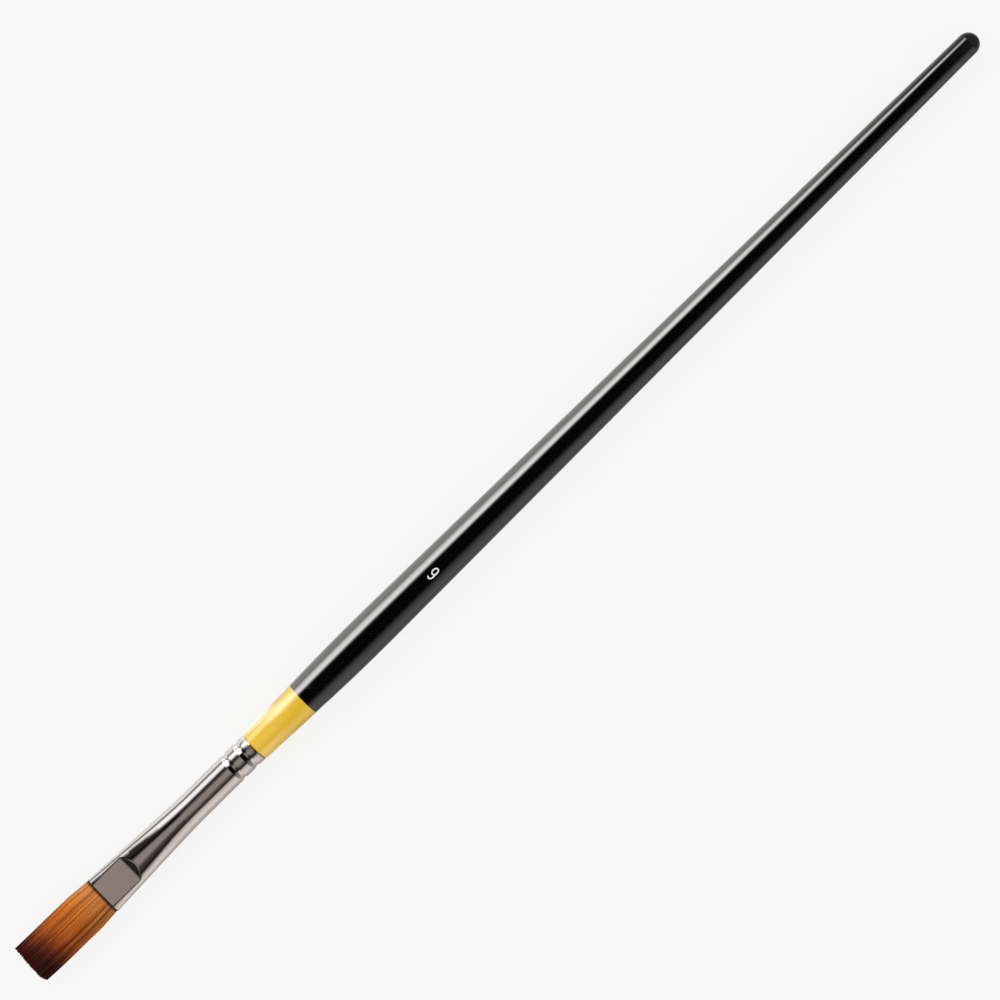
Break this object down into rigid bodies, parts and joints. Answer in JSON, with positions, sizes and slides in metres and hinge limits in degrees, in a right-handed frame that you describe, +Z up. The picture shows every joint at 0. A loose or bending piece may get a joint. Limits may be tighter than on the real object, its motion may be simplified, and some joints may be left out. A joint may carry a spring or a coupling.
{
  "type": "paint brush",
  "caption": "Long-handled flat artist's brush: square-cut soft filaments in a bright crimped ferrule on a turned, lacquered wooden handle.",
  "frame": {"origin": "middle of the brush's length, under its axis, on the surface that the belly of the handle rests on", "axes": "+X along the brush from the tuft to the tail of the handle, +Y across the flat of the tuft and ferrule, +Z up through the thickness of the tuft"},
  "size_m": [0.316, 0.011, 0.0099],
  "materials": {
    "filament": "fine tapered nylon filaments, orange-brown at the root and burgundy at the tips",
    "resin": "set epoxy, clear amber",
    "bright_plate": "bright nickel plate on seamless brass",
    "bare_wood": "turned birch, bare under the lacquer and on the tenon",
    "yellow_lacquer": "gloss yellow lacquer",
    "black_lacquer": "gloss black lacquer"
  },
  "bodies": {
    "root": {"filament_tuft": "filament", "epoxy_plug": "resin", "ferrule": "bright_plate", "wooden_handle": "bare_wood", "yellow_band": "yellow_lacquer", "black_lacquer": "black_lacquer"}
  },
  "joints": []
}
